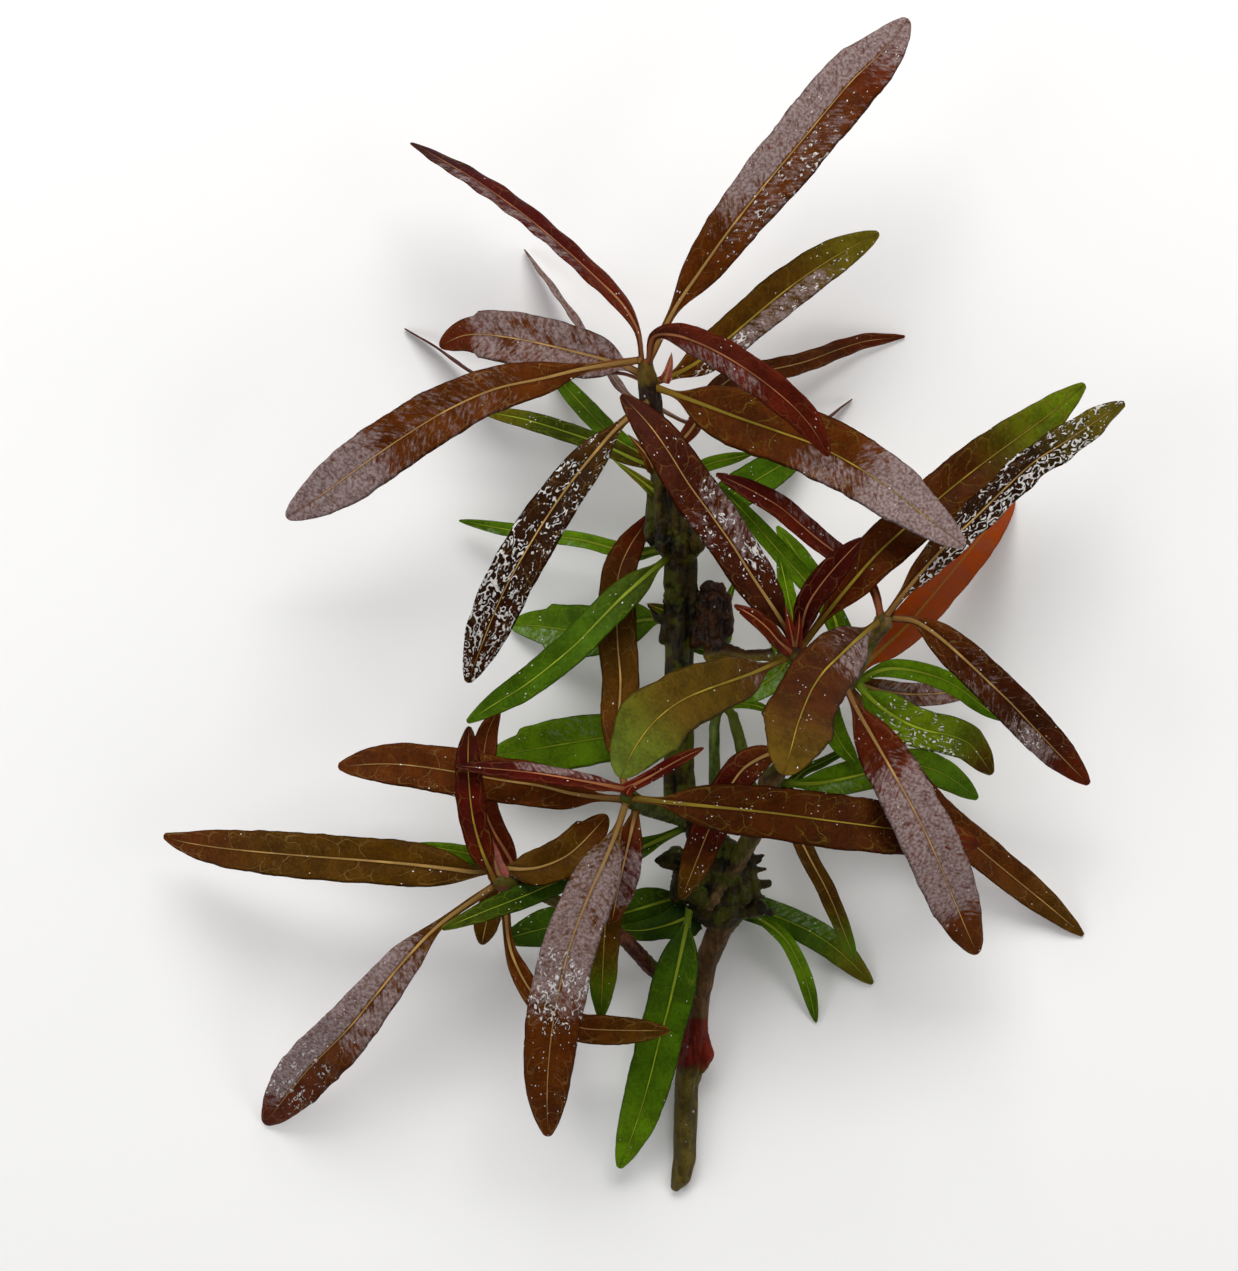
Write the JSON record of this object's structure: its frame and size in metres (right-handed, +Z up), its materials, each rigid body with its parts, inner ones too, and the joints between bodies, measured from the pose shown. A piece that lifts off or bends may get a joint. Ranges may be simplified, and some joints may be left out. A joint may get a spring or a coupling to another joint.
{
  "type": "aquarium plant cutting",
  "caption": "Leafy hygrophila cutting lying down: forked stem with opposite, long narrow leaves in bronze, purple, olive and green, wet and glossy.",
  "frame": {"origin": "centre of the footprint's bounding box, on the surface that the cutting lies on", "axes": "+Y along the cutting, from its cut lower end towards its top shoot; +X to the right as it is seen from above; +Z up from the surface"},
  "size_m": [0.1748, 0.2146, 0.0796],
  "materials": {
    "leaf_bronze": "gloss",
    "leaf_purple": "gloss",
    "leaf_olive": "gloss",
    "leaf_green": "gloss",
    "leaf_orange": "gloss",
    "stem_brown": "satin",
    "stem_green": "satin"
  },
  "bodies": {
    "root": {"branch_centre": "stem_green", "branch_inner": "stem_brown", "branch_left": "stem_green", "branch_right": "stem_green", "leaf_branch_down_left": "leaf_bronze", "leaf_branch_green_arch": "leaf_green", "leaf_centre_down_back": "leaf_green", "leaf_centre_down_long": "leaf_bronze", "leaf_centre_down_short": "leaf_bronze", "leaf_centre_left": "leaf_bronze", "leaf_centre_right_long": "leaf_bronze", "leaf_centre_up": "leaf_orange", "leaf_inner_dark": "leaf_purple", "leaf_inner_front_left": "leaf_olive", "leaf_inner_small_red": "leaf_purple", "leaf_inner_up_left": "leaf_bronze", "leaf_inner_up_right": "leaf_olive", "leaf_knot_down_green": "leaf_green", "leaf_knot_down_narrow": "leaf_green", "leaf_knot_green_left": "leaf_green", "leaf_left_curled": "leaf_olive", "leaf_left_down_long": "leaf_bronze", "leaf_left_up_dark": "leaf_purple", "leaf_low_down": "leaf_bronze", "leaf_low_far_right": "leaf_bronze", "leaf_low_folded_tip": "leaf_green", "leaf_low_green_narrow": "leaf_green", "leaf_low_orange_back": "leaf_orange", "leaf_outer_down_right": "leaf_bronze", "leaf_outer_front_down": "leaf_olive", "leaf_outer_up_left": "leaf_purple", "leaf_outer_up_right": "leaf_bronze", "leaf_stem_green_diagonal": "leaf_green", "leaf_top_arching_right": "leaf_purple", "leaf_top_down_left": "leaf_bronze", "leaf_top_left_edge_on": "leaf_purple", "leaf_top_left_long": "leaf_bronze", "leaf_top_left_upper": "leaf_bronze", "leaf_top_right_long": "leaf_bronze", "leaf_top_right_upper": "leaf_olive", "leaf_top_up_left": "leaf_purple", "leaf_top_up_right": "leaf_bronze", "leaves_branch_pair": "leaf_green", "leaves_centre_pair_dark": "leaf_purple", "leaves_inner_pair": "leaf_green", "leaves_joint_pair_broad": "leaf_green", "leaves_joint_pair_green": "leaf_green", "leaves_knot_pair_wide": "leaf_green", "leaves_left_pair_long": "leaf_bronze", "leaves_left_pair_olive": "leaf_olive", "leaves_low_pair_back": "leaf_green", "leaves_low_pair_green": "leaf_green", "leaves_stem_pair_low": "leaf_purple", "leaves_stem_pair_olive": "leaf_olive", "leaves_stem_pair_wide": "leaf_green", "leaves_top_pair_behind": "leaf_purple", "shoot_thin": "stem_green", "stem_lower": "stem_brown", "stem_middle": "stem_brown", "stem_upper": "stem_brown"}
  },
  "joints": []
}
